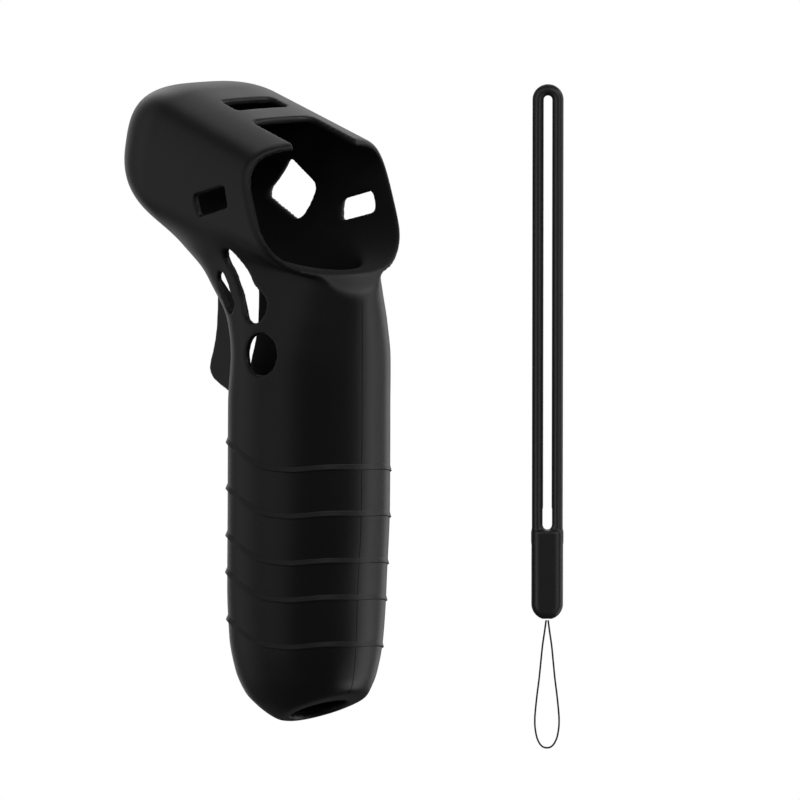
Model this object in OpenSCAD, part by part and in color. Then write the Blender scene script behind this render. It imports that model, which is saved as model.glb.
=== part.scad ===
// Protective silicone sleeve for a pistol-grip motion controller, with its wrist strap.
// Millimetres. +Z runs up the grip, -Y is the thumb side, +Y the finger side and the nose of
// the head, -X the side with the round button hole. The origin is on the grip's axis, just
// above the sleeve's lowest point.

/* [Sleeve] */
// Thickness of the silicone wall
wall = 1.6; // [1.4:0.1:2.2]
// Height at which the grip region meets the neck region
grip_top = 80; // [76:1:82]
// Height at which the neck region meets the head region
neck_top = 106; // [104:1:108]

/* [Head] */
// Length of the head along its axis, nose to the middle of the open face
head_length = 77.5; // [76:0.5:78]
// Height of the head across its axis at the nose end
nose_height = 38.4; // [37:0.2:40]
// Height of the head across its axis at the face
face_height = 29; // [28:0.5:32]
// Width of the head at the nose end
nose_width = 42; // [40:0.5:43]
// Width of the head at the face
face_width = 44; // [43:0.5:45]
// Degrees that the head's axis falls toward the face
head_fall = 13; // [12:0.5:14]
// Radius of the curve of the open face, side to side
face_curve = 36; // [32:1:50]

/* [Windows] */
// Width of the slot across the top of the head
top_slot_w = 15; // [10:0.5:18]
// Length of the top slot along the head
top_slot_l = 6; // [4:0.5:8]
// Width of the notch behind the face
notch_w = 18; // [12:0.5:20]
// Length of the notch behind the face
notch_l = 11; // [6:0.5:12]
// Length of the side windows along the head
side_window_l = 12.4; // [10:0.2:13]
// Height of the side windows
side_window_h = 5; // [4.2:0.1:6]
// Radius of the diamond window's corners
diamond_corner = 2.1; // [1:0.1:3]
// Radius of the round button hole
button_r = 5; // [4:0.25:6]
// Width of the long slot's narrow stretch in the side of the neck
long_slot_w = 5; // [4.4:0.1:5.6]
// Width of the long slot's wide lower end
long_slot_end_w = 7.6; // [6.4:0.1:8]
// Width of the short slot in the side of the neck
short_slot_w = 4.1; // [3.4:0.1:4.4]
// Width of the trigger opening in the finger side of the neck
trigger_gap_w = 10.4; // [10:0.1:11]

/* [End] */
// Diameter of the lanyard hole in the lower end
end_hole_d = 14; // [12:0.5:16]
// Degrees that the flat around the lanyard hole leans toward the thumb side
end_lean = 24.5; // [18:0.5:26]

/* [Ribs] */
// Diameter of a rib's bead
rib_d = 1.2; // [0.8:0.1:1.6]
// How far a rib rises toward the finger side
rib_rise = 4.5; // [0:0.5:8]
// How far a rib rises at the middle of the thumb side
rib_thumb_rise = 1.4; // [0:0.1:2]
// How much a rib falls toward +X, for each millimetre across
rib_skew = 0.07; // [0:0.01:0.1]

/* [Trigger collar] */
// Width over the two cheeks of the collar around the trigger opening
collar_w = 14.6; // [13.4:0.1:15]

/* [Strap] */
// Width over both strands of the wrist loop
strap_w = 7.4; // [6.6:0.2:9]
// Diameter of a strand
strand_d = 2.7; // [2.2:0.1:3]
// Height of the top of the wrist loop
strap_top = 152.7; // [140:0.1:160]
// Height of the upper end of the tab
tab_top = 46; // [40:1:60]
// Height of the lower end of the tab
tab_bottom = 24.4; // [20:0.1:30]
// Thickness of the tab
tab_t = 4; // [3:0.2:5]
// Diameter of the cord
cord_d = 0.45; // [0.4:0.05:0.8]

/* [Hidden] */
sleeve_colour = "#26262a";
strap_colour = "#2c2c2f";
cord_colour = "#1a1a1b";
sides = 40;
far = 200;

// Grip: height, reach to the finger side, reach to the thumb side, half width, and the reach
// to the thumb side that the hollow inside is drawn in from
grip_outline = [
    [-1.4, 3.8, 7, 3, 7],
    [0, 8, 8.5, 6.4, 8.5],
    [1.4, 11, 10.5, 8.8, 10.5],
    [4, 14.7, 13.5, 11.7, 13.5],
    [6.5, 17.2, 14.7, 13.6, 14.7],
    [12, 19.8, 17, 15.8, 17],
    [20, 20.8, 18.1, 17.5, 18.1],
    [32, 20.9, 18.7, 18.3, 18.7],
    [52, 20.8, 20.2, 18.4, 20.2],
    [76, 20.7, 20.5, 18.3, 20.5],
    [88, 19.6, 20.6, 18.1, 20.6],
    [96, 22.2, 20.6, 17.3, 20.6],
    [104, 30.5, 20.6, 16.4, 18.8],
    [107, 34.1, 20.6, 16, 16],
    [112, 40.7, 20.6, 15.5, 11],
    [122, 49, 20.6, 14.2, 5]
];
grip_squareness = 2.05;
grip_peak = 122;

// Lower end: a flat that leans toward the thumb side, with the lanyard hole through it
end_z = 1.35;
end_hole_y = -3.9;

// Head: an axis from the nose to the open face
nose_y = 60.8;
nose_z = 136.8;
nose_cap_top = 24.8;
nose_cap_below = 32;
nose_cap_sides = 24;
head_squareness = 3;
face_lean = 21;
face_rise = 3.4;

// Windows: places on the side walls, as [y, z], and the tilt of the two small ones
left_window = [10.4, 125.3];
right_window = [7, 121.9];
window_tilt = -15;
diamond = [[37.3, 123.1], [33.1, 128.6], [25.8, 124.5], [27.3, 119.8]];
long_slot = [[8, 111.4], [2.6, 104.4], [-0.1, 100.8]];
short_slot = [[14.4, 105.8], [10.6, 100.4]];
button_at = [-3.5, 89.6];
top_slot_y = 21.8;
trigger_gap = [80, 113];

// Ribs: height of each at its lower bends
rib_heights = [19.2, 30.5, 39.4, 50.7, 61.8];
rib_rings = 48;
rib_sides = 8;

// Trigger collar: outlines of its cheeks and of the space between them, as [y, z]
collar_outline = [
    [12, 76],
    [18.5, 76],
    [26, 78.8],
    [28.8, 80.1],
    [29.9, 81.4],
    [30.3, 82.7],
    [29.9, 84.5],
    [28.9, 86.9],
    [28, 89.9],
    [27.4, 93],
    [27.1, 97],
    [27, 104],
    [12, 104]
];
collar_space = [
    [10, 80],
    [20, 80],
    [27, 82.4],
    [40, 84],
    [40, 110],
    [10, 110]
];

// Strap: it hangs beside the sleeve, in a plane turned from the X axis
strap_at = [44.7, -34.9];
strap_turn = -38;
cord_route = [
    [-0.24, 24.2],
    [-0.6, 21.5],
    [-1.1, 18],
    [-1.5, 14],
    [-1.9, 10],
    [-2.4, 6],
    [-2.8, 2],
    [-2.9, 0],
    [-2.8, -2],
    [-2.3, -4.4],
    [-1.3, -6.1],
    [0, -6.6],
    [1.3, -6.1],
    [2.3, -4.4],
    [2.8, -2],
    [2.9, 0],
    [2.8, 2],
    [2.4, 6],
    [1.9, 10],
    [1.5, 14],
    [1.1, 18],
    [0.6, 21.5],
    [0.24, 24.2]
];
cord_sides = 8;
cord_hole_d = 1.4;
knot_r = 1.2;
knot_z = 27;

// A number raised to a power, with its sign kept
function power(v, e) = sign(v) * pow(abs(v), e);

// A smooth curve without overshoot through column c of a table whose first column rises
function row(t, x, i = 0) = i >= len(t) - 2 || x < t[i + 1][0] ? i : row(t, x, i + 1);
function rise(t, i, c) = (t[i + 1][c] - t[i][c]) / (t[i + 1][0] - t[i][0]);
function slope(t, i, c) =
    i == 0 ? rise(t, 0, c)
    : i == len(t) - 1 ? rise(t, i - 1, c)
    : rise(t, i - 1, c) * rise(t, i, c) <= 0 ? 0
    : 2 / (1 / rise(t, i - 1, c) + 1 / rise(t, i, c));
function curve(t, x, c) =
    let(i = row(t, x), w = t[i + 1][0] - t[i][0], k = (x - t[i][0]) / w)
    (2 * k ^ 3 - 3 * k ^ 2 + 1) * t[i][c]
    + (k ^ 3 - 2 * k ^ 2 + k) * w * slope(t, i, c)
    + (3 * k ^ 2 - 2 * k ^ 3) * t[i + 1][c]
    + (k ^ 3 - k ^ 2) * w * slope(t, i + 1, c);

// One ring of the grip, drawn in by the wall for the hollow inside
function grip_point(z, a, inset) =
    let(front = curve(grip_outline, z, 1) - inset,
        back = curve(grip_outline, z, inset > 0 ? 4 : 2) - inset,
        half = curve(grip_outline, z, 3) - inset,
        e = 2 / grip_squareness)
    [half * power(cos(a), e), (front - back) / 2 + (front + back) / 2 * power(sin(a), e), z];
function grip_ring(z, inset) = [for (i = [0:sides - 1]) grip_point(z, 360 * i / sides, inset)];

// One ring of the head, t along its axis from the nose
function cap(t, length, e) = t >= length ? 1 : (1 - (1 - t / length) ^ e) ^ (1 / e);
function head_point(t, a, inset) =
    let(f = t / head_length,
        up = ((1 - f) * nose_height + f * face_height) / 2,
        half = ((1 - f) * nose_width + f * face_width) / 2 * cap(t, nose_cap_sides, 2) - inset,
        reach = (sin(a) > 0 ? up * cap(t, nose_cap_top, 1.8) : up * cap(t, nose_cap_below, 2))
            - inset,
        e = 2 / head_squareness,
        v = reach * power(sin(a), e) + face_rise * f)
    [half * power(cos(a), e),
     nose_y - t * cos(head_fall) - v * sin(head_fall),
     nose_z - t * sin(head_fall) + v * cos(head_fall)];
function head_ring(t, inset) = [for (i = [0:sides - 1]) head_point(t, 360 * i / sides, inset)];

// A solid skinned over rings of equal length
module loft(rings) {
    n = len(rings[0]);
    m = len(rings);
    points = [for (ring = rings) each ring];
    skin = [
        for (j = [0:m - 2], i = [0:n - 1])
            let(a = j * n + i, b = j * n + (i + 1) % n)
            each [[a, b + n, b], [a, a + n, b + n]]
    ];
    first = [for (i = [0:n - 1]) i];
    last = [for (i = [n - 1:-1:0]) (m - 1) * n + i];
    polyhedron(points, concat([first], skin, [last]));
}

module grip_form(inset) {
    heights = [-1.4, -0.7, 0, 0.7, 1.4, 2.6, 4, 6.5, 9, 12, 16, 20, 26, 32, 42, 52, 64, 76, 82,
        88, 92, 96, 100, 104, 107, 110, 116, grip_peak];
    loft([for (z = heights) grip_ring(z + inset * (1 - z / grip_peak), inset)]);
}

module head_form(inset, reach) {
    along = [0.15, 0.6, 1.4, 2.6, 4.2, 6.2, 8.8, 12, 16, 20, 25, 30, 36, 44, 52, 60, 68, 76,
        head_length + reach];
    loft([for (t = along) head_ring(t + inset, inset)]);
}

// Everything behind the curved, leaning face
module behind_face() {
    translate([0, nose_y - head_length * cos(head_fall), nose_z - head_length * sin(head_fall)])
        rotate([-face_lean, 0, 0])
        translate([0, face_curve, 0])
        cylinder(r = face_curve, h = 2 * far, center = true, $fn = 180);
}

// Everything above the leaning flat of the lower end
module above_end(rise) {
    translate([0, 0, end_z])
        rotate([-end_lean, 0, 0])
        translate([-far / 2, -far / 2, rise])
        cube(far);
}

// Outline of a rectangle with rounded corners
function corner(x, y, r, start) =
    [for (k = [0:4]) [x + r * cos(start + 22.5 * k), y + r * sin(start + 22.5 * k)]];
function rounded(w, h, r) = concat(
    corner(w / 2 - r, h / 2 - r, r, 0),
    corner(r - w / 2, h / 2 - r, r, 90),
    corner(r - w / 2, r - h / 2, r, 180),
    corner(w / 2 - r, r - h / 2, r, 270)
);

// Cuts the shape drawn at [y, z] through the side wall at x < 0 (side -1) or x > 0 (side 1)
module side_cut(side) {
    translate([side > 0 ? 11 : -36, 0, 0])
        rotate([90, 0, 90])
        linear_extrude(25)
        children();
}

module small_window(side, at, corner_r) {
    side_cut(side)
        translate(at)
        rotate(window_tilt)
        polygon(rounded(side_window_l, side_window_h, corner_r));
}

// A slot between two round ends
module slot(ends, widths) {
    side_cut(-1)
        hull() {
            for (i = [0, 1])
                translate(ends[i])
                circle(d = widths[i], $fn = 32);
        }
}

module windows() {
    small_window(-1, left_window, 0.7);
    small_window(1, right_window, 1.7);
    side_cut(1)
        offset(r = diamond_corner, $fn = 32)
        polygon(diamond);
    slot([long_slot[0], long_slot[1]], [long_slot_w, long_slot_w]);
    slot([long_slot[1], long_slot[2]], [long_slot_w, long_slot_end_w]);
    slot(short_slot, [short_slot_w, short_slot_w]);
    translate([0, top_slot_y, 130])
        linear_extrude(40)
        polygon(rounded(top_slot_w, top_slot_l, 1));
    translate([0, notch_l / 2 - 6, 130])
        linear_extrude(40)
        polygon(rounded(notch_w, notch_l + 12, 1.5));
    translate([0, 10, (trigger_gap[0] + trigger_gap[1]) / 2])
        rotate([-90, 0, 0])
        linear_extrude(34)
        polygon(rounded(trigger_gap_w, trigger_gap[1] - trigger_gap[0], 2.5));
}

// The whole sleeve between two heights, as one mesh: scaling by nothing joins the facets
module sleeve_region(low, high) {
    resize([0, 0, 0])
        intersection() {
            difference() {
                intersection() {
                    union() {
                        grip_form(0);
                        head_form(0, 14);
                    }
                    behind_face();
                    above_end(0);
                }
                intersection() {
                    grip_form(wall);
                    above_end(wall);
                }
                head_form(wall, 30);
                windows();
                translate([0, 0, end_z])
                    rotate([-end_lean, 0, 0])
                    translate([0, end_hole_y, -10])
                    cylinder(d = end_hole_d, h = 20, $fn = 48);
            }
            translate([-far / 2, -far / 2, low])
                cube([far, far, high - low]);
        }
}

module sleeve_grip() {
    color(sleeve_colour)
        sleeve_region(-2, grip_top);
}

module sleeve_neck() {
    color(sleeve_colour)
        difference() {
            sleeve_region(grip_top, neck_top);
            translate([-30, button_at[0], button_at[1]])
                rotate([0, 90, 0])
                cylinder(r = button_r, h = 25);
        }
}

module sleeve_head() {
    color(sleeve_colour)
        sleeve_region(neck_top, far);
}

// A rib's climb above its lower bends: steep toward the fingers, a low swell at the thumb
function ease(v) = let(k = min(max(v, 0), 1)) k * k * (3 - 2 * k);
function rib_climb(a, x) =
    let(share = (1 + sin(a)) / 2)
    rib_rise * ease((share - 0.3) / 0.5) + rib_thumb_rise * (1 - ease(share / 0.22))
        - rib_skew * x;

// A rib: a bead swept around the grip's surface
module rib(height) {
    loft_closed([
        for (i = [0:rib_rings - 1])
            let(a = 360 * i / rib_rings,
                z = height + rib_climb(a, grip_point(height, a, 0)[0]),
                p = grip_point(z, a, 0),
                q = grip_point(z, a + 1, 0),
                along = (q - p) / norm(q - p),
                out = [along[1], -along[0], 0])
            [for (k = [0:rib_sides - 1])
                p + rib_d / 2 * (cos(360 * k / rib_sides) * out
                    + sin(360 * k / rib_sides) * [0, 0, 1])]
    ]);
}

// A closed tube skinned over rings that run round to the first again
module loft_closed(rings) {
    n = len(rings[0]);
    m = len(rings);
    skin = [
        for (j = [0:m - 1], i = [0:n - 1])
            let(k = (j + 1) % m, a = j * n + i, b = j * n + (i + 1) % n,
                c = k * n + i, d = k * n + (i + 1) % n)
            each [[a, d, b], [a, c, d]]
    ];
    polyhedron([for (ring = rings) each ring], skin);
}

module grip_rib(number) {
    color(sleeve_colour)
        rib(rib_heights[number - 1]);
}

// A shape drawn on the YZ plane, made as wide as asked about the plane of symmetry
module about_middle(width) {
    translate([-width / 2, 0, 0])
        rotate([90, 0, 90])
        linear_extrude(width)
        children();
}

// The raised collar: two cheeks and a floor that stand out round the trigger opening
module trigger_collar() {
    color(sleeve_colour)
        resize([0, 0, 0])
        difference() {
            about_middle(collar_w)
                polygon(collar_outline);
            about_middle(trigger_gap_w)
                polygon(collar_space);
            grip_form(0);
        }
}

// Stands a shape drawn on the XZ plane in the strap's place
module hang() {
    translate([strap_at[0], strap_at[1], 0])
        rotate(strap_turn)
        children();
}

module wrist_loop() {
    centre = strap_w / 2 - strand_d / 2;
    bend_z = strap_top - strand_d / 2 - centre;
    color(strap_colour)
        hang() {
            for (side = [-1, 1])
                translate([side * centre, 0, tab_top])
                    cylinder(d = strand_d, h = bend_z - tab_top, $fn = 32);
            translate([0, 0, bend_z])
                rotate([90, 0, 0])
                rotate_extrude(angle = 180, $fn = 48)
                translate([centre, 0])
                circle(d = strand_d, $fn = 32);
        }
}

module knot_form() {
    translate([0, 0, knot_z])
        sphere(r = knot_r, $fn = 24);
}

// The tab is moulded around the knot and the two ends of the cord
module strap_tab() {
    r = tab_t / 2;
    middle = strap_w / 2 - r;
    color(strap_colour)
        hang()
        difference() {
            hull() {
                for (side = [-1, 1])
                    translate([side * middle, 0, tab_top - 0.5])
                        cylinder(r = r, h = 0.5, $fn = 32);
                for (side = [-1, 1])
                    translate([side * middle, 0, tab_bottom + strap_w / 2])
                        cylinder(r = r, h = 0.5, $fn = 32);
                translate([0, r, tab_bottom + strap_w / 2])
                    rotate([90, 0, 0])
                    cylinder(d = strap_w - 2, h = tab_t, $fn = 48);
                translate([0, r / 2, tab_bottom + strap_w / 2])
                    rotate([90, 0, 0])
                    cylinder(d = strap_w, h = tab_t / 2, $fn = 48);
            }
            knot_form();
            translate([0, 0, tab_bottom - 1])
                cylinder(d = cord_hole_d, h = knot_z - tab_bottom + 1, $fn = 24);
        }
}

// The cord: a round tube swept along its route, drawn on the XZ plane
module cord_loop() {
    last = len(cord_route) - 1;
    color(cord_colour)
        hang()
        loft([
            for (i = [0:last])
                let(before = cord_route[max(i - 1, 0)],
                    after = cord_route[min(i + 1, last)],
                    along = (after - before) / norm(after - before),
                    out = [along[1], 0, -along[0]],
                    centre = [cord_route[i][0], 0, cord_route[i][1]])
                [for (k = [0:cord_sides - 1])
                    centre + cord_d / 2 * (cos(360 * k / cord_sides) * out
                        + sin(360 * k / cord_sides) * [0, 1, 0])]
        ]);
}

module cord_knot() {
    color(cord_colour)
        hang()
        knot_form();
}

sleeve_grip();
sleeve_neck();
sleeve_head();
trigger_collar();
grip_rib(1);  // grip_rib_1
grip_rib(2);  // grip_rib_2
grip_rib(3);  // grip_rib_3
grip_rib(4);  // grip_rib_4
grip_rib(5);  // grip_rib_5
wrist_loop();
strap_tab();
cord_loop();
cord_knot();
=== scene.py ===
"""Looks of a silicone sleeve for a pistol-grip motion controller, and of its wrist strap.

Everything is modelled in millimetres in the part's own frame and scaled to metres when its mesh
is made. +Z runs up the grip, -Y is the thumb side, +Y the finger side and the nose of the head.
"""
import math

import bpy
import numpy as np
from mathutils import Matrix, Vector


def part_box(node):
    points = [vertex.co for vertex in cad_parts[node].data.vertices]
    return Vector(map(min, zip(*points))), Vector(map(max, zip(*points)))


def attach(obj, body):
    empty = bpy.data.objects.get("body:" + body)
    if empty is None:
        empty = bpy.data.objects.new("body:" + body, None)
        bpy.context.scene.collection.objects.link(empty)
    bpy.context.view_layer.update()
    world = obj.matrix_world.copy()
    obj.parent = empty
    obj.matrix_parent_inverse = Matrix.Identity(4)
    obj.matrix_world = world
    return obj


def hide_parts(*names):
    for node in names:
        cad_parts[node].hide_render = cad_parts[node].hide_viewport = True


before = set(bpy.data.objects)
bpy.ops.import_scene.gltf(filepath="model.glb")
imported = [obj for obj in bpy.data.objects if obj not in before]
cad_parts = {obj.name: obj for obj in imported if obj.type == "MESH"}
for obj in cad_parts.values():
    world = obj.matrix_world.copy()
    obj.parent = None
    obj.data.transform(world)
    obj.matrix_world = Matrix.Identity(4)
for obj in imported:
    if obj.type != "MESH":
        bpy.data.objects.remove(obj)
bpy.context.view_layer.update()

MM = 0.001


def node_box(node):
    """A CAD node's lowest and highest corners, in millimetres."""
    low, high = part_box(node)
    return np.array(low) / MM, np.array(high) / MM


# ---------------------------------------------------------------- camera

CAMERA_TURN = math.radians(-38)
CAMERA_RISE = math.radians(7)
CAMERA_AIM = (17.0, -13.3, 77.2)
CAMERA_DISTANCE = 2.4
FRAME_WIDTH = 0.1905
SENSOR = 36

back = Vector((
    math.sin(CAMERA_TURN) * math.cos(CAMERA_RISE),
    -math.cos(CAMERA_TURN) * math.cos(CAMERA_RISE),
    math.sin(CAMERA_RISE),
))
camera_data = bpy.data.cameras.new("camera")
camera_data.sensor_width = SENSOR
camera_data.lens = SENSOR * CAMERA_DISTANCE / FRAME_WIDTH
camera_data.clip_end = 20
camera = bpy.data.objects.new("camera", camera_data)
bpy.context.scene.collection.objects.link(camera)
camera.location = Vector(CAMERA_AIM) * MM + back * CAMERA_DISTANCE
camera.rotation_euler = back.to_track_quat("Z", "Y").to_euler()
bpy.context.scene.camera = camera


# ---------------------------------------------------------------- making meshes

def new_piece(name, points, faces, body, material, smooth=True):
    """A piece from points in millimetres, riding on a body and wearing a material."""
    mesh = bpy.data.meshes.new(name)
    mesh.from_pydata((np.asarray(points) * MM).tolist(), [], [list(face) for face in faces])
    mesh.validate()
    if smooth:
        mesh.polygons.foreach_set("use_smooth", [True] * len(mesh.polygons))
    mesh.update()
    piece = bpy.data.objects.new(name, mesh)
    bpy.context.scene.collection.objects.link(piece)
    mesh.materials.append(material)
    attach(piece, body)
    return piece


ANY_DIRECTION = (0.3, 0.5, 0.81)


def tube(path, ring, closed=False):
    """Points and faces of a tube along a path; ring(i, side, up) gives one ring's offsets."""
    path = np.asarray(path, float)
    count = len(path)
    if closed:
        along = np.roll(path, -1, 0) - np.roll(path, 1, 0)
    else:
        along = np.gradient(path, axis=0)
    along /= np.linalg.norm(along, axis=1)[:, None]
    side = np.cross(along[0], ANY_DIRECTION)
    rings = []
    for i in range(count):
        side -= along[i] * side.dot(along[i])
        side /= np.linalg.norm(side)
        up = np.cross(along[i], side)
        rings.append(path[i] + ring(i, side, up))
    n = len(rings[0])
    faces = []
    for j in range(count if closed else count - 1):
        for i in range(n):
            a, b = j * n + i, j * n + (i + 1) % n
            c, d = (j + 1) % count * n + i, (j + 1) % count * n + (i + 1) % n
            faces.append((a, b, d, c))
    points = np.concatenate(rings)
    if not closed:
        faces.append(tuple(range(n))[::-1])
        faces.append(tuple(range((count - 1) * n, count * n)))
    return points, faces


def smooth_path(points, step):
    """A Catmull-Rom curve through the points, at equal steps."""
    p = np.asarray(points, float)
    p = np.vstack([2 * p[0] - p[1], p, 2 * p[-1] - p[-2]])
    k = np.linspace(0, 1, 40, endpoint=False)[:, None]
    out = []
    for a, b, c, d in zip(p[:-3], p[1:-2], p[2:-1], p[3:]):
        out.append(0.5 * (2 * b + (c - a) * k + (2 * a - 5 * b + 4 * c - d) * k ** 2
                          + (3 * b - a - 3 * c + d) * k ** 3))
    curve = np.vstack(out + [p[-2:-1]])
    run = np.concatenate([[0], np.cumsum(np.linalg.norm(np.diff(curve, axis=0), axis=1))])
    at = np.linspace(0, run[-1], max(2, int(round(run[-1] / step)) + 1))
    return np.stack([np.interp(at, run, curve[:, i]) for i in range(3)], 1)


# ---------------------------------------------------------------- solids as distance fields

def surface_nets(field, origin, step):
    """Points and quads of the surface where a field on a grid is zero; inside is negative."""
    cells = np.array(field.shape) - 1
    total = int(np.prod(cells))
    count = np.zeros(total)
    sums = np.zeros((3, total))
    inside = field < 0
    rings = []
    for axis in range(3):
        lower = tuple(slice(None, -1) if k == axis else slice(None) for k in range(3))
        upper = tuple(slice(1, None) if k == axis else slice(None) for k in range(3))
        crossing = inside[lower] != inside[upper]
        at = np.array(np.nonzero(crossing))
        first = field[lower][crossing].astype(float)
        second = field[upper][crossing].astype(float)
        point = at.astype(float)
        point[axis] += first / (first - second)
        u, w = (axis + 1) % 3, (axis + 2) % 3
        ring = []
        for du, dw in ((1, 1), (0, 1), (0, 0), (1, 0)):
            cell = at.copy()
            cell[u] -= du
            cell[w] -= dw
            flat = np.ravel_multi_index(cell, cells)
            ring.append(flat)
            count += np.bincount(flat, minlength=total)
            for k in range(3):
                sums[k] += np.bincount(flat, weights=point[k], minlength=total)
        ring = np.stack(ring, 1)
        outward = first < 0
        rings.append(np.where(outward[:, None], ring, ring[:, ::-1]))
    used = count > 0
    index = np.cumsum(used) - 1
    points = (sums[:, used] / count[used]).T * step + np.asarray(origin)
    return points, index[np.concatenate(rings)]


RELAX_IN, RELAX_OUT = 0.5, -0.53


def relaxed(points, faces, rounds):
    """Evens out the grid's steps without shrinking the surface."""
    count = len(points)
    pairs = np.sort(np.concatenate([faces[:, [k, (k + 1) % 4]] for k in range(4)]), axis=1)
    key = np.unique(pairs[:, 0].astype(np.int64) * count + pairs[:, 1])
    a, b = key // count, key % count
    met = np.bincount(a, minlength=count) + np.bincount(b, minlength=count)
    for amount in (RELAX_IN, RELAX_OUT) * rounds:
        around_it = np.stack([np.bincount(a, points[b, axis], count)
                              + np.bincount(b, points[a, axis], count) for axis in range(3)], 1)
        points = points + amount * (around_it / met[:, None] - points)
    return points


def lattice(low, high, step):
    """The coordinates of a grid's points, and its lowest corner."""
    axes = [np.arange(a, b + step, step, dtype=np.float32) for a, b in zip(low, high)]
    return np.meshgrid(*axes, indexing="ij"), np.array([a[0] for a in axes])


def join(a, b, soft):
    """The union of two fields, with a fillet about as wide as soft."""
    h = np.clip(0.5 + 0.5 * (b - a) / soft, 0, 1)
    return b * (1 - h) + a * h - soft * h * (1 - h)


def keep_both(a, b, soft):
    """The intersection of two fields, with its edges rounded."""
    return -join(-a, -b, soft)


def smoothstep(value):
    held = np.clip(value, 0, 1)
    return held * held * (3 - 2 * held)


def sample(field, at):
    """A field's values between the points of its grid."""
    first = np.clip(np.floor(at).astype(int), 0, np.array(field.shape) - 2)
    part = at - first
    total = np.zeros(len(at))
    for i, j, k in np.ndindex(2, 2, 2):
        weight = np.abs(1 - np.array([i, j, k]) - part).prod(1)
        total += weight * field[first[:, 0] + i, first[:, 1] + j, first[:, 2] + k]
    return total


def as_distance(field, step):
    """A field scaled by its slope, so that near its surface it measures distance."""
    slopes = np.gradient(field, step)
    slope = np.sqrt(sum(g * g for g in slopes))
    return field / np.maximum(slope, 1e-3)


def outline_field(points, u, v):
    """Distance from a flat closed outline, less than zero inside it."""
    u, v = np.broadcast_arrays(u, v)
    nearest = np.full(u.shape, np.inf)
    inside = np.zeros(u.shape, bool)
    for (au, av), (bu, bv) in zip(points, np.roll(points, -1, 0)):
        k = ((u - au) * (bu - au) + (v - av) * (bv - av)) / ((bu - au) ** 2 + (bv - av) ** 2)
        k = np.clip(k, 0, 1)
        away = np.hypot(u - au - k * (bu - au), v - av - k * (bv - av))
        nearest = np.minimum(nearest, away)
        if av != bv:
            crossed = (av > v) != (bv > v)
            inside ^= crossed & (u < au + (v - av) * (bu - au) / (bv - av))
    return np.where(inside, -nearest, nearest)


def power_norm(parts, n):
    return sum(np.abs(p) ** n for p in parts) ** (1 / n)


def rounded_box(u, v, width, height, radius):
    """Distance from a flat rectangle with rounded corners."""
    a = np.abs(u) - (width / 2 - radius)
    b = np.abs(v) - (height / 2 - radius)
    outside = np.sqrt(np.maximum(a, 0) ** 2 + np.maximum(b, 0) ** 2)
    return outside + np.minimum(np.maximum(a, b), 0) - radius


def turned(u, v, centre, degrees):
    """The two coordinates about a centre, turned by an angle."""
    c, s = math.cos(math.radians(degrees)), math.sin(math.radians(degrees))
    return ((u - centre[0]) * c + (v - centre[1]) * s,
            (v - centre[1]) * c - (u - centre[0]) * s)


def capsule(u, v, start, end, first_width, last_width):
    """Distance from a flat slot with round ends, which may widen along its length."""
    du, dv = end[0] - start[0], end[1] - start[1]
    k = np.clip(((u - start[0]) * du + (v - start[1]) * dv) / (du * du + dv * dv), 0, 1)
    half = (first_width + (last_width - first_width) * k) / 2
    return np.hypot(u - start[0] - k * du, v - start[1] - k * dv) - half


def smooth_column(table, column, at):
    """A smooth curve without overshoot through one column of a table, whose first rises."""
    x, y = table[:, 0], table[:, column]
    rise = np.diff(y) / np.diff(x)
    slope = np.concatenate([rise[:1], np.zeros(len(x) - 2), rise[-1:]])
    same = rise[:-1] * rise[1:] > 0
    slope[1:-1][same] = 2 / (1 / rise[:-1][same] + 1 / rise[1:][same])
    i = np.clip(np.searchsorted(x, at) - 1, 0, len(x) - 2)
    w = x[i + 1] - x[i]
    k = np.clip((at - x[i]) / w, 0, 1)
    return ((2 * k ** 3 - 3 * k ** 2 + 1) * y[i] + (k ** 3 - 2 * k ** 2 + k) * w * slope[i]
            + (3 * k ** 2 - 2 * k ** 3) * y[i + 1] + (k ** 3 - k ** 2) * w * slope[i + 1])


# ---------------------------------------------------------------- the sleeve's form

WALL = 1.6
# Height, reach to the finger side, reach to the thumb side, half width, and the reach to the
# thumb side that the hollow inside is drawn in from
GRIP_OUTLINE = np.array([
    [-4, 1, 1, 1, 1],
    [-1, 5.2, 7, 4, 7],
    [0, 8, 8.5, 6.4, 8.5],
    [1.4, 11, 10.5, 8.8, 10.5],
    [4, 14.7, 13.5, 11.7, 13.5],
    [6.5, 17.2, 14.7, 13.6, 14.7],
    [12, 19.8, 17, 15.8, 17],
    [20, 20.8, 18.1, 17.5, 18.1],
    [32, 20.9, 18.7, 18.3, 18.7],
    [52, 20.8, 20.2, 18.4, 20.2],
    [76, 20.7, 20.5, 18.3, 20.5],
    [88, 19.6, 20.6, 18.1, 20.6],
    [96, 22.2, 20.6, 17.3, 20.6],
    [104, 30.8, 20.6, 16.4, 19],
    [107, 34.5, 20.6, 16, 17.6],
    [112, 41.3, 20.6, 15.5, 14.6],
    [122, 49, 20.6, 14.2, 8],
], float)
GRIP_SQUARENESS = 2.05
LOWEST = -1.4
END_Z = 1.35
END_LEAN = math.radians(24.5)
END_HOLE = (-3.9, 7)

NOSE = (60.8, 136.8)
HEAD_FALL = 13
HEAD_LENGTH = 77.5
# Half width, reach above the axis and reach below it, at the nose and at the face
NOSE_SIZE = (21, 19.4, 19.2)
FACE_SIZE = (22, 14.2, 14.4)
# How far the nose's round cap reaches back at the sides, on top and below
NOSE_CAP = (24.6, 25.2, 32)
NOSE_CAP_POWER = 1.9
# Squareness above and below the axis, at the nose and at the face
HEAD_SQUARENESS = ((3.2, 3.1), (2.75, 3.2))
FACE_RISE = 3.4
FACE_LEAN = 21
FACE_CURVE = 36
HEAD_FIELD_SCALE = 18
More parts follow.
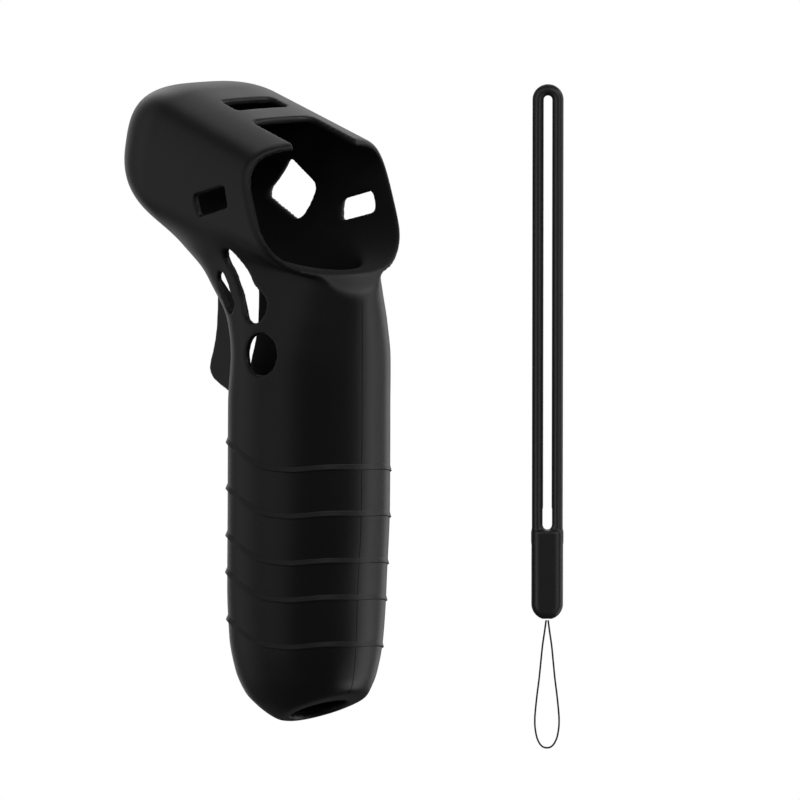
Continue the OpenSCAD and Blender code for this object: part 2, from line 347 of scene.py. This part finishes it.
# The dish in the chin below the face: depth, height and how far it spreads
FACE_DISH = 1.3
DISH_Z = 110.5
DISH_SPREAD = 4.5

EDGE = 0.5
SIDE_CUT_FROM = 9


def grip_field(x, y, z, thumb_column):
    """Less than zero inside the grip's skin, or inside the skin that its hollow is drawn in from."""
    height = z[0, 0]
    front, rear, half = (smooth_column(GRIP_OUTLINE, c, height) for c in (1, thumb_column, 3))
    depth = (front + rear) / 2
    middle = (front - rear) / 2
    size = np.minimum(depth, half)
    inside = power_norm((x / half, (y - middle) / depth), GRIP_SQUARENESS)
    field = (inside - 1) * size
    top = GRIP_OUTLINE[-1, 0]
    field = np.maximum(field, z - top)
    return np.maximum(field, GRIP_OUTLINE[0, 0] - z).astype(np.float32)


def head_axes(y, z):
    """How far along the head's axis a point is, from the nose, and how high above it."""
    c, s = math.cos(math.radians(HEAD_FALL)), math.sin(math.radians(HEAD_FALL))
    back_y, up_z = NOSE[0] - y, z - NOSE[1]
    return back_y * c - up_z * s, back_y * s + up_z * c


def head_field(x, y, z):
    """Less than zero inside the head's outer skin, which runs on past the face."""
    along, above = head_axes(y, z)
    share = np.clip(along / HEAD_LENGTH, 0, 1.2)
    half, top, bottom = (a + (b - a) * share for a, b in zip(NOSE_SIZE, FACE_SIZE))
    up = above - FACE_RISE * share
    reach = np.where(up > 0, top, bottom)
    over, under = (a + (b - a) * share ** 2 for a, b in HEAD_SQUARENESS)
    square = np.where(up > 0, over, under)
    across = power_norm((x / half, up / reach), square)
    vertical = (up / reach) ** 2
    flat = (x / half) ** 2
    below = np.where(up > 0, NOSE_CAP[1], NOSE_CAP[2])
    cap = (NOSE_CAP[0] * flat + below * vertical) / np.maximum(flat + vertical, 1e-6)
    ahead = np.maximum(cap - along, 0) / cap
    field = (across ** NOSE_CAP_POWER + ahead ** NOSE_CAP_POWER) ** (1 / NOSE_CAP_POWER) - 1
    return (field * HEAD_FIELD_SCALE).astype(np.float32)


def face_field(x, y, z):
    """Less than zero behind the open face, which curves, leans back and is dished at the chin."""
    fall, lean = math.radians(HEAD_FALL), math.radians(FACE_LEAN)
    centre_y = NOSE[0] - HEAD_LENGTH * math.cos(fall)
    centre_z = NOSE[1] - HEAD_LENGTH * math.sin(fall)
    dish = FACE_DISH * np.exp(-((z - DISH_Z) / DISH_SPREAD) ** 2)
    inward = (y - centre_y - dish) * math.cos(lean) - (z - centre_z) * math.sin(lean)
    return np.hypot(x, inward - FACE_CURVE) - FACE_CURVE


def cut(solid, hole):
    return keep_both(solid, -hole, EDGE)


def side_cut(solid, x, side, hole):
    """Cuts a hole drawn in the side plane through the wall on one side only."""
    return cut(solid, np.maximum(hole, SIDE_CUT_FROM - side * x))


# ---------------------------------------------------------------- silicone and cord

def value(node, name, amount):
    node.inputs[name].default_value = amount


def noise(tree, scale, detail, coordinates):
    node = tree.nodes.new("ShaderNodeTexNoise")
    value(node, "Scale", scale)
    value(node, "Detail", detail)
    tree.links.new(coordinates, node.inputs["Vector"])
    return node.outputs["Fac"]


def spread(tree, source, low, high):
    """The middle of a noise, stretched from low to high."""
    node = tree.nodes.new("ShaderNodeMapRange")
    value(node, "From Min", 0.3)
    value(node, "From Max", 0.7)
    value(node, "To Min", low)
    value(node, "To Max", high)
    tree.links.new(source, node.inputs["Value"])
    return node.outputs["Result"]


def bump(tree, height, depth, strength, under=None):
    node = tree.nodes.new("ShaderNodeBump")
    value(node, "Distance", depth)
    value(node, "Strength", strength)
    tree.links.new(height, node.inputs["Height"])
    if under is not None:
        tree.links.new(under, node.inputs["Normal"])
    return node.outputs["Normal"]


# Painted light: the lining is paler than the skin and stands in for the faint light inside the hollow;
# its lower gloss and rougher finish are the matt inner skin
HOLLOW_PAINTED_LIGHT_COLOUR = (0.036, 0.036, 0.037, 1)
LINING_ROUGHER = 0.45
GLOSS, LINING_GLOSS = 0.5, 0.02
BLOOM_SCALE, WAVE_SCALE = 60, 130


def tinted(tree, dark, pale, share):
    """A colour between two, by a value from 0 to 1."""
    node = tree.nodes.new("ShaderNodeMix")
    node.data_type = "RGBA"
    node.inputs["A"].default_value = (*dark, 1)
    node.inputs["B"].default_value = (*pale, 1)
    tree.links.new(share, node.inputs["Factor"])
    return node.outputs["Result"]


def line(tree, source, slope):
    """A value times a slope, as a node that waits for what is added to it."""
    node = tree.nodes.new("ShaderNodeMath")
    node.operation = "MULTIPLY_ADD"
    node.inputs[1].default_value = slope
    tree.links.new(source, node.inputs[0])
    return node


def silicone(name, dark, pale, rough, grain):
    """Matt black silicone: a moulded grain, a faint bloom in patches, and a duller lining whose paler
    colour is painted light in the hollow.
    """
    material = bpy.data.materials.new(name)
    material.use_nodes = True
    tree = material.node_tree
    shader = tree.nodes["Principled BSDF"]
    place = tree.nodes.new("ShaderNodeTexCoord").outputs["Object"]
    bloom = noise(tree, BLOOM_SCALE, 4, place)
    skin = noise(tree, grain, 3, place)
    waves = noise(tree, WAVE_SCALE, 2, place)
    lining = tree.nodes.new("ShaderNodeAttribute")
    lining.attribute_name = "lining"
    inside = tree.nodes.new("ShaderNodeMix")
    inside.data_type = "RGBA"
    # Painted light: the hollow's skin takes the paler lining colour
    inside.inputs["B"].default_value = HOLLOW_PAINTED_LIGHT_COLOUR
    tree.links.new(tinted(tree, dark, pale, spread(tree, bloom, 0, 1)), inside.inputs["A"])
    tree.links.new(lining.outputs["Fac"], inside.inputs["Factor"])
    tree.links.new(inside.outputs["Result"], shader.inputs["Base Color"])
    dull = line(tree, lining.outputs["Fac"], LINING_ROUGHER)
    tree.links.new(spread(tree, skin, rough - 0.04, rough + 0.05), dull.inputs[2])
    tree.links.new(dull.outputs["Value"], shader.inputs["Roughness"])
    gloss = line(tree, lining.outputs["Fac"], LINING_GLOSS - GLOSS)
    gloss.inputs[2].default_value = GLOSS
    tree.links.new(gloss.outputs["Value"], shader.inputs["Specular IOR Level"])
    soft = bump(tree, waves, 0.0002, 0.12)
    tree.links.new(bump(tree, skin, 0.00003, 0.35, soft), shader.inputs["Normal"])
    # Also set flat, for an export that can't follow the link
    value(shader, "Specular IOR Level", GLOSS)
    value(shader, "Sheen Weight", 0.03)
    value(shader, "Sheen Roughness", 0.4)
    return material


FIBRE_SCALE = 9000


def thread(name, dark, pale):
    """Black thread: fine fibres over a dull, slightly waxy ply."""
    material = bpy.data.materials.new(name)
    material.use_nodes = True
    tree = material.node_tree
    shader = tree.nodes["Principled BSDF"]
    place = tree.nodes.new("ShaderNodeTexCoord").outputs["Object"]
    fibres = noise(tree, FIBRE_SCALE, 4, place)
    tree.links.new(tinted(tree, dark, pale, spread(tree, fibres, 0, 1)), shader.inputs["Base Color"])
    tree.links.new(spread(tree, fibres, 0.55, 0.8), shader.inputs["Roughness"])
    tree.links.new(bump(tree, fibres, 0.00004, 0.6), shader.inputs["Normal"])
    value(shader, "Sheen Weight", 0.15)
    return material


sleeve_finish = silicone("sleeve_silicone_finish", (0.0048, 0.0048, 0.0050),
                         (0.0070, 0.0070, 0.0072), 0.40, 4200)
# Painted shade: the parting line's ridge is too low to shade itself, so its dark colour stands in for
# the thin shade line along it
seam_painted_shade_finish = silicone("parting_line_painted_shade_finish", (0.0012, 0.0012, 0.0013),
                       (0.0020, 0.0020, 0.0021), 0.85, 4200)
strap_finish = silicone("strap_silicone_finish", (0.0060, 0.0060, 0.0062),
                        (0.0085, 0.0085, 0.0088), 0.38, 5200)
cord_finish = thread("cord_finish", (0.004, 0.004, 0.004), (0.016, 0.016, 0.017))


# ---------------------------------------------------------------- the strap's place

STRAP_TURN = math.radians(-38)
STRAND = 2.7
STRAP_TOP = node_box("wrist_loop")[1][2]
TAB_LOW, TAB_HIGH = node_box("strap_tab")[0][2], node_box("strap_tab")[1][2]
STRAP_AT = sum(node_box("wrist_loop"))[:2] / 2
STRAP_WIDTH = 7.4


def hang(points):
    """Points drawn about the strap's own axis, put in the strap's place."""
    p = np.asarray(points, float)
    c, s = math.cos(STRAP_TURN), math.sin(STRAP_TURN)
    return np.stack([p[:, 0] * c - p[:, 1] * s + STRAP_AT[0],
                     p[:, 0] * s + p[:, 1] * c + STRAP_AT[1], p[:, 2]], 1)


# ---------------------------------------------------------------- the cord loop

# The route of part.scad, drawn in the strap's plane
CORD_ROUTE = [
    (-0.24, 24.2), (-0.6, 21.5), (-1.1, 18), (-1.5, 14), (-1.9, 10), (-2.4, 6), (-2.8, 2),
    (-2.9, 0), (-2.8, -2), (-2.3, -4.4), (-1.3, -6.1), (0, -6.6), (1.3, -6.1), (2.3, -4.4),
    (2.8, -2), (2.9, 0), (2.8, 2), (2.4, 6), (1.9, 10), (1.5, 14), (1.1, 18), (0.6, 21.5),
    (0.24, 24.2),
]
CORD_D = 0.45
PLY_PITCH = 0.9
PLY_GROOVE = 0.12


def plies(radius, turns_per_step):
    """A ring of a cord twisted from two plies."""
    def ring(i, side, up):
        angle = np.linspace(0, 2 * math.pi, 12, endpoint=False)
        lobes = np.abs(np.cos(angle - 2 * math.pi * turns_per_step * i))
        reach = radius * (1 - PLY_GROOVE + PLY_GROOVE * lobes)
        return (reach * np.cos(angle))[:, None] * side + (reach * np.sin(angle))[:, None] * up
    return ring


CORD_STEP = 0.12
cord_path = hang([(x, 0, z) for x, z in CORD_ROUTE])
fine_path = smooth_path(cord_path, CORD_STEP)
points, faces = tube(fine_path, plies(CORD_D / 2, CORD_STEP / PLY_PITCH))
cord = new_piece("cord_loop_thread", points, faces, "cord", cord_finish)
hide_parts("cord_loop")


# ---------------------------------------------------------------- the knot inside the tab

knot_low, knot_high = node_box("cord_knot")
knot_middle, knot_reach = (knot_low + knot_high) / 2, (knot_high[0] - knot_low[0]) / 2 - CORD_D / 2
KNOT_THREAD_R = CORD_D * 0.42
KNOT_TWIST = 0.03
turn = np.linspace(0, 2 * math.pi, 240, endpoint=False)
trefoil = np.stack([np.sin(turn) + 2 * np.sin(2 * turn), np.cos(turn) - 2 * np.cos(2 * turn),
                    -1.6 * np.sin(3 * turn)], 1) / 3
points, faces = tube(knot_middle + knot_reach * trefoil, plies(KNOT_THREAD_R, KNOT_TWIST), closed=True)
knot = new_piece("cord_knot_thread", points, faces, "strap", cord_finish)
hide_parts("cord_knot")


# ---------------------------------------------------------------- one moulding as several pieces

def pieces_of(points, faces, parts, body, material, lining=None):
    """Splits one surface into pieces that share their edges and their shading."""
    a, b, c, d = (points[faces[:, k]] for k in range(4))
    across = np.cross(c - a, d - b)
    normals = np.zeros_like(points)
    for k in range(4):
        for axis in range(3):
            normals[:, axis] += np.bincount(faces[:, k], across[:, axis], len(points))
    normals /= np.maximum(np.linalg.norm(normals, axis=1), 1e-9)[:, None]
    for name, chosen, nodes in parts:
        own = faces[chosen]
        used, own = np.unique(own, return_inverse=True)
        piece = new_piece(name, points[used], own.reshape(-1, 4), body, material)
        piece.data.normals_split_custom_set_from_vertices(normals[used].tolist())
        if lining is not None:
            mark = piece.data.attributes.new("lining", "FLOAT", "POINT")
            mark.data.foreach_set("value", lining[used].astype(np.float32))
        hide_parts(*nodes)


# ---------------------------------------------------------------- the sleeve

STEP = 0.5
BUTTON = (-3.5, 89.6)
DIAMOND_CORNER = 2.1
DIAMOND = [(37.5, 123.3), (33.3, 128.9), (25.6, 124.6), (26.9, 119.5)]
BUTTON_R = 5
# Small windows: side, centre as distance to the finger side and height, and corner radius
SMALL_WINDOWS = ((-1, (10.4, 125.3), 0.7), (1, (7, 121.9), 1.7))
SMALL_WINDOW_SIZE = (12.4, 5.2)
SMALL_WINDOW_TILT = -15
# Slots of the neck as stretches: start, end, and the width at each
NECK_SLOTS = (
    (((8.6, 111.5), (3, 104.2), 4.8, 4.8), ((3, 104.2), (-0.1, 100.6), 4.8, 7.6)),
    (((14.4, 105.8), (10.6, 100.4), 3.8, 4.4),),
)
# Cuts through the top of the head: distance to the finger side, width, length, corner radius
TOP_CUTS = ((21.2, 15, 6.8, 1), (-1, 18, 23, 1.5))
TOP_CUTS_FROM = 130
COLLAR_WIDTH = 14.6
COLLAR_PROUD = 0.7
COLLAR_TOP = 103
TRIGGER_GAP = 10.4
TRIGGER_HEIGHTS = (80, 113)
TRIGGER_CORNER = 2.5
# The fillet between grip and head widens from the thumb side to the finger side
THUMB_FILLET, FINGER_FILLET = 1.5, 8.5
FILLET_START, FILLET_RUN = -12, 26
HOLLOW_ROUND, FACE_ROUND, END_ROUND, FOOT_ROUND = 2, 0.7, 1, 1.2
COLLAR_ROUND, COLLAR_FILLET = 0.9, 1.5
END_CUT_TOP = 14
SLEEVE_LOW, SLEEVE_HIGH = (-23.5, -23.5, -2.5), (23.5, 64.5, 153)
# The cheeks of the collar from the side: distance to the finger side, height
COLLAR_OUTLINE = [
    (12, 76), (18.5, 76), (26, 78.8), (28.8, 80.1), (29.9, 81.4), (30.3, 82.7), (29.9, 84.5),
    (28.9, 86.9), (28, 89.9), (27.4, 93), (27.1, 97), (27, 104), (12, 104),
]
# Distances to the finger side, and the height of the collar's floor at each
COLLAR_FLOOR = ((10, 20, 27, 40), (80, 80, 82.4, 84))
TRIGGER_BACK, COLLAR_BACK = 10, 15
COLLAR_MARGIN = 0.5
# Columns of GRIP_OUTLINE
THUMB, THUMB_OF_HOLLOW = 2, 4


def sleeve_solid(x, y, z):
    """The moulding, its form without the collar or any hollow, and all its hollows."""
    grip = as_distance(grip_field(x, y, z, THUMB), STEP)
    hollow = as_distance(grip_field(x, y, z, THUMB_OF_HOLLOW), STEP)
    head = as_distance(head_field(x, y, z), STEP)
    fillet = THUMB_FILLET + (FINGER_FILLET - THUMB_FILLET) * smoothstep((y - FILLET_START) / FILLET_RUN)
    below_end = -(y * math.sin(END_LEAN) + (z - END_Z) * math.cos(END_LEAN))
    along_end = y * math.cos(END_LEAN) - (z - END_Z) * math.sin(END_LEAN)
    inner = keep_both(join(head, hollow, fillet) + WALL, below_end + WALL, HOLLOW_ROUND)
    inner = keep_both(inner, WALL - z, HOLLOW_ROUND)
    plain = keep_both(join(head, grip, fillet), face_field(x, y, z), FACE_ROUND)
    plain = keep_both(keep_both(plain, below_end, END_ROUND), LOWEST - z, FOOT_ROUND)
    cheeks = outline_field(COLLAR_OUTLINE, y, z)
    collar = keep_both(np.abs(x) - COLLAR_WIDTH / 2, cheeks, COLLAR_ROUND)
    solid = keep_both(join(plain, collar, COLLAR_FILLET), -inner, EDGE)

    end_hole = np.hypot(x, along_end - END_HOLE[0]) - END_HOLE[1]
    solid = cut(solid, np.maximum(end_hole, z - END_CUT_TOP))
    for side, centre, radius in SMALL_WINDOWS:
        u, v = turned(y, z, centre, SMALL_WINDOW_TILT)
        solid = side_cut(solid, x, side, rounded_box(u, v, *SMALL_WINDOW_SIZE, radius))
    solid = side_cut(solid, x, 1, outline_field(DIAMOND, y, z) - DIAMOND_CORNER)
    for stretches in NECK_SLOTS:
        slot = np.minimum.reduce([capsule(y, z, *stretch) for stretch in stretches])
        solid = side_cut(solid, x, -1, slot)
    solid = side_cut(solid, x, -1, np.hypot(y - BUTTON[0], z - BUTTON[1]) - BUTTON_R)
    for along, width, length, radius in TOP_CUTS:
        hole = rounded_box(x, y - along, width, length, radius)
        solid = cut(solid, np.maximum(hole, TOP_CUTS_FROM - z))
    low, high = TRIGGER_HEIGHTS
    gap = rounded_box(x, z - (low + high) / 2, TRIGGER_GAP, high - low, TRIGGER_CORNER)
    floor_height = np.interp(y[0, :, :], *COLLAR_FLOOR)[None]
    gap = np.maximum(np.maximum(gap, floor_height - z), TRIGGER_BACK - y)
    return cut(solid, gap), plain, np.minimum(inner, gap)


(x, y, z), corner = lattice(SLEEVE_LOW, SLEEVE_HIGH, STEP)
solid, plain, inner = sleeve_solid(x, y, z)
points, faces = surface_nets(solid, corner, STEP)
points = relaxed(points, faces, 3)
middle = points[faces].mean(1)
cell = np.round((middle - corner) / STEP).astype(int)
proud = plain[tuple(cell.T)] > COLLAR_PROUD
between = np.abs(middle[:, 0]) < COLLAR_WIDTH / 2 + COLLAR_MARGIN
collar = proud & between & (middle[:, 1] > COLLAR_BACK) & (middle[:, 2] < COLLAR_TOP)
# The lining is the skin of the hollow, duller and with painted light in its paler colour: it fades out
# at the rims over a part of a millimetre
LINING_DEPTH, LINING_FADE = 0.35, 0.5
away_from_hollow = sample(inner, (points - corner) / STEP)
lining = 1 - smoothstep((away_from_hollow - LINING_DEPTH) / LINING_FADE)
GRIP_TOP, NECK_TOP = node_box("sleeve_grip")[1][2], node_box("sleeve_neck")[1][2]
height = middle[:, 2]
pieces_of(points, faces, [
    ("sleeve_grip_skin", ~collar & (height < GRIP_TOP), ["sleeve_grip"]),
    ("sleeve_neck_skin", ~collar & (height >= GRIP_TOP) & (height < NECK_TOP), ["sleeve_neck"]),
    ("sleeve_head_skin", ~collar & (height >= NECK_TOP), ["sleeve_head"]),
    ("trigger_collar_skin", collar, ["trigger_collar"]),
], "sleeve", sleeve_finish, lining)
del x, y, z, solid, plain, inner


# ---------------------------------------------------------------- the ribs

def grip_skin(height, angle):
    """Points on the grip's skin at heights and angles; a quarter turn is the finger side."""
    front, rear, half = (smooth_column(GRIP_OUTLINE, c, height) for c in (1, 2, 3))
    e = 2 / GRIP_SQUARENESS
    across, forward = np.cos(angle), np.sin(angle)
    return np.stack([half * np.sign(across) * np.abs(across) ** e,
                     (front - rear) / 2 + (front + rear) / 2
                     * np.sign(forward) * np.abs(forward) ** e, height], 1)


# From the top: a small ledge, a band that slopes out and down to its crest, and an underside
RIB_SECTION = [(-0.3, 0.72), (0.02, 0.7), (0.06, 0.66), (0.12, 0.5), (0.28, 0.05), (0.46, -0.4),
               (0.5, -0.5), (0.46, -0.6), (0.1, -0.78), (-0.3, -0.8)]
RIB_TURNS = 360
RIB_HALF_HEIGHT = 0.6
RIB_FINGER_RISE = 4.5
RIB_THUMB_RISE = 1.4
RIB_SKEW = 0.07
# Shares of the way from the thumb side to the finger side
CLIMB_START, CLIMB_RUN, THUMB_RUN = 0.3, 0.5, 0.22
RIB_PROUD, RIB_PROUD_GAIN = 0.6, 0.55
RIB_SQUASH = 0.95


def rib_climb(angle, x):
    """A rib's height above its lowest level: steep toward the fingers, a low swell at the thumb."""
    share = (1 + np.sin(angle)) / 2
    return (RIB_FINGER_RISE * smoothstep((share - CLIMB_START) / CLIMB_RUN)
            + RIB_THUMB_RISE * (1 - smoothstep(share / THUMB_RUN)) - RIB_SKEW * x)


def grip_rib(node):
    """One rib, at the height of its node in the frame."""
    low = node_box(node)[0][2] + RIB_HALF_HEIGHT
    angle = np.linspace(0, 2 * math.pi, RIB_TURNS, endpoint=False)
    share = (1 + np.sin(angle)) / 2
    climb = rib_climb(angle, grip_skin(np.full(RIB_TURNS, low), angle)[:, 0])
    heights = low + climb - climb.min()
    path = grip_skin(heights, angle)
    ahead = grip_skin(heights, angle + 0.01) - grip_skin(heights, angle - 0.01)
    out = np.stack([ahead[:, 1], -ahead[:, 0], np.zeros(RIB_TURNS)], 1)
    out /= np.linalg.norm(out, axis=1)[:, None]
    proud = RIB_PROUD + RIB_PROUD_GAIN * share
    section = np.array(RIB_SECTION)
    points = (path[:, None] + (section[None, :, :1] * proud[:, None, None]) * out[:, None]
              + section[None, :, 1:] * np.array([0, 0, RIB_SQUASH]))
    n = len(section)
    index = np.arange(RIB_TURNS * n).reshape(RIB_TURNS, n)
    after = np.roll(index, -1, 0)
    faces = np.stack([index, after, np.roll(after, -1, 1), np.roll(index, -1, 1)], 2).reshape(-1, 4)
    rib = new_piece(f"{node}_bead", points.reshape(-1, 3), faces, "sleeve",
                    sleeve_finish)
    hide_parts(node)


for number in range(1, 6):
    grip_rib(f"grip_rib_{number}")


# ---------------------------------------------------------------- the mould's parting line

SEAM_HEIGHTS = np.arange(8.5, 103, 0.5)
SEAM_SECTION = [(-0.3, -0.12), (0.0, -0.1), (0.045, 0), (0.0, 0.1), (-0.3, 0.12)]
rear = smooth_column(GRIP_OUTLINE, THUMB, SEAM_HEIGHTS)
seam_path = np.stack([np.zeros(len(rear)), -rear, SEAM_HEIGHTS], 1)
points, faces = tube(seam_path, lambda i, side, up: np.array(
    [(across, -out, 0) for out, across in SEAM_SECTION]))
# A low ridge whose dark finish is painted shade
new_piece("parting_line", points, faces, "sleeve", seam_painted_shade_finish)


# ---------------------------------------------------------------- the wrist strap

STRAP_STEP = 0.2
TAB_THICKNESS, WEB_THICKNESS = 4, 2.2
TAB_CROWN = 2.2
OVERLAP = 4
CORD_HOLE_D, CORD_HOLE_DEPTH = 1.4, 2


def strap_solid(x, y, z):
    """The bent strand, the tab with its web, and the slot between the strands."""
    arch = (STRAP_WIDTH - STRAND) / 2
    bend = STRAP_TOP - STRAND / 2 - arch
    sideways = np.where(z > bend, np.hypot(x, z - bend), np.abs(x)) - arch
    strands = np.maximum(np.hypot(sideways, y) - STRAND / 2, TAB_HIGH - 3 - z)
    tab_middle = (TAB_LOW + TAB_HIGH + OVERLAP) / 2
    tab_width = STRAP_WIDTH + 0.2
    flat = rounded_box(x, z - tab_middle, tab_width, TAB_HIGH + OVERLAP - TAB_LOW,
                       tab_width / 2 - 0.01)
    slot_half = STRAP_WIDTH / 2 - STRAND
    slot_foot = TAB_HIGH + slot_half
    slot = np.maximum(np.hypot(x, np.minimum(z - slot_foot, 0)) - slot_half, z - slot_foot - OVERLAP)
    tab = keep_both(keep_both(flat, np.abs(y) - TAB_THICKNESS / 2, TAB_CROWN), z - TAB_HIGH, 0.8)
    web = np.maximum(np.abs(x) - slot_half - 0.6, np.abs(z - TAB_HIGH) - slot_half)
    web = keep_both(web, np.abs(y) - WEB_THICKNESS / 2, 0.6)
    strap = keep_both(join(strands, join(tab, web, 0.8), 0.5), -slot, 0.4)
    return cut(strap, np.maximum(np.hypot(x, y) - CORD_HOLE_D / 2, z - TAB_LOW - CORD_HOLE_DEPTH))


(x, y, z), corner = lattice((-4.6, -3, TAB_LOW - 1), (4.6, 3, STRAP_TOP + 1), STRAP_STEP)
points, faces = surface_nets(strap_solid(x, y, z), corner, STRAP_STEP)
above = points[faces].mean(1)[:, 2] >= TAB_HIGH
pieces_of(hang(points), faces, [("wrist_loop_skin", above, ["wrist_loop"]),
                                ("strap_tab_skin", ~above, ["strap_tab"])],
          "strap", strap_finish)


# ---------------------------------------------------------------- floor and light

FLOOR_DROP = 0.35
FILL_LIGHT = (0.07, 0.07, 0.071, 1)
bpy.context.scene.view_settings.view_transform = "Standard"


def glow(name, colour, strength):
    material = bpy.data.materials.new(name)
    material.use_nodes = True
    tree = material.node_tree
    tree.nodes.clear()
    out = tree.nodes.new("ShaderNodeOutputMaterial")
    light = tree.nodes.new("ShaderNodeEmission")
    light.inputs["Color"].default_value = (*colour, 1)
    light.inputs["Strength"].default_value = strength
    tree.links.new(light.outputs[0], out.inputs["Surface"])
    return material


bpy.ops.mesh.primitive_circle_add(vertices=96, radius=30, fill_type="NGON",
                                  location=(0, 0, -FLOOR_DROP))
floor = bpy.context.object
floor.name = "floor"
floor.data.materials.append(glow("floor_finish", (1, 1, 1), 1.0))
floor.visible_glossy = False
floor.visible_diffuse = False

world = bpy.data.worlds.new("studio")
bpy.context.scene.world = world
world.use_nodes = True
tree = world.node_tree
tree.nodes.clear()
seen = tree.nodes.new("ShaderNodeBackground")
seen.inputs["Color"].default_value = (1, 1, 1, 1)
dim = tree.nodes.new("ShaderNodeBackground")
dim.inputs["Color"].default_value = FILL_LIGHT
mix = tree.nodes.new("ShaderNodeMixShader")
tree.links.new(tree.nodes.new("ShaderNodeLightPath").outputs["Is Camera Ray"], mix.inputs[0])
tree.links.new(dim.outputs[0], mix.inputs[1])
tree.links.new(seen.outputs[0], mix.inputs[2])
tree.links.new(mix.outputs[0], tree.nodes.new("ShaderNodeOutputWorld").inputs["Surface"])

centre = Vector((0.01, 0, 0.085))
right = Vector((math.cos(CAMERA_TURN), math.sin(CAMERA_TURN), 0))
away = Vector((-math.sin(CAMERA_TURN), math.cos(CAMERA_TURN), 0))
up = Vector((0, 0, 1))


def softbox(name, place, width, height, radiance):
    light = bpy.data.lights.new(name, "AREA")
    light.shape = "RECTANGLE"
    light.size, light.size_y = width, height
    light.energy = radiance * math.pi * width * height
    box = bpy.data.objects.new(name, light)
    bpy.context.scene.collection.objects.link(box)
    box.location = centre + place
    box.rotation_euler = place.to_track_quat("Z", "Y").to_euler()
    return box


def around(turn, rise, distance):
    """A place seen from the object at a turn from the camera, to the right, and a rise."""
    turn, rise = math.radians(turn), math.radians(rise)
    level = right * math.sin(turn) - away * math.cos(turn)
    return (level * math.cos(rise) + up * math.sin(rise)) * distance


softbox("right_box", around(98, -6, 1.2), 0.75, 2.3, 1.3)
softbox("right_rim", around(148, 10, 1.2), 0.5, 1.6, 1.0)
softbox("right_high", around(58, 37, 1.2), 1.9, 0.42, 1.2)
softbox("left_high", around(-10, 35, 1.2), 1.3, 0.38, 0.75)
softbox("right_low", around(75, -40, 1.2), 0.8, 0.3, 1.2)
softbox("left_front", around(-58, 4, 1.2), 0.9, 1.5, 0.28)
softbox("left_side", around(-108, 4, 1.2), 0.9, 1.6, 0.26)
softbox("left_rim", around(-160, 10, 1.2), 0.4, 1.6, 0.7)
softbox("top_box", around(180, 74, 1.2), 1.1, 0.8, 0.6)
softbox("back_box", around(180, 25, 1.4), 0.9, 0.8, 0.9)

# Two lights from the front reach the strap only
strap_only = bpy.data.collections.new("strap_only")
for name in ("wrist_loop_skin", "strap_tab_skin"):
    strap_only.objects.link(bpy.data.objects[name])
for name, turn in (("strap_left", -34), ("strap_right", 34)):
    strap_light = softbox(name, around(turn, 4, 1.3), 0.6, 1.6, 1.15)
    strap_light.light_linking.receiver_collection = strap_only
